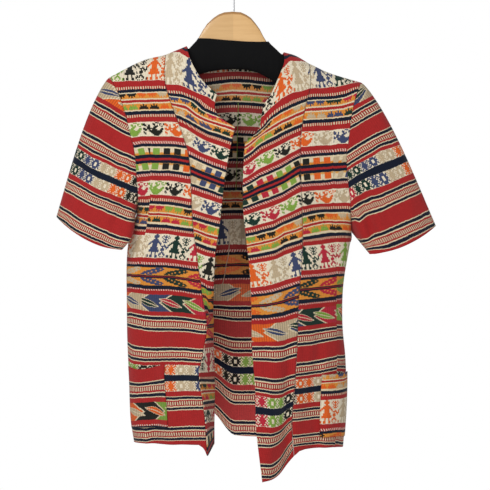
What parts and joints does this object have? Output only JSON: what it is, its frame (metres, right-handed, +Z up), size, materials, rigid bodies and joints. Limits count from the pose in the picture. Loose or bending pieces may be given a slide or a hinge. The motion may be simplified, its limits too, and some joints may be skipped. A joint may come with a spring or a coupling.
{
  "type": "short-sleeved jacket on a clothes hanger",
  "caption": "Collarless open-front jacket of striped handwoven cloth with short sleeves and low patch pockets, hanging on a covered wooden hanger.",
  "frame": {"origin": "where the hook hangs: the inner top of the hook", "axes": "+Z up, the front faces -Y, the wearer's right is -X"},
  "size_m": [0.626, 0.1778, 0.8264],
  "materials": {
    "woven_cloth": "handwoven, matt",
    "pale_wood": "clear varnish",
    "black_cloth": "matt",
    "wire": "satin"
  },
  "bodies": {
    "root": {"back": "woven_cloth", "front_centre_right": "woven_cloth", "front_centre_left": "woven_cloth", "front_side_right": "woven_cloth", "front_side_left": "woven_cloth", "facing_right": "woven_cloth", "sleeve_right": "woven_cloth", "sleeve_left": "woven_cloth", "pocket_right": "woven_cloth", "pocket_left": "woven_cloth", "hanger_wood": "pale_wood", "hanger_cover": "black_cloth", "hanger_hook": "wire"}
  },
  "joints": []
}
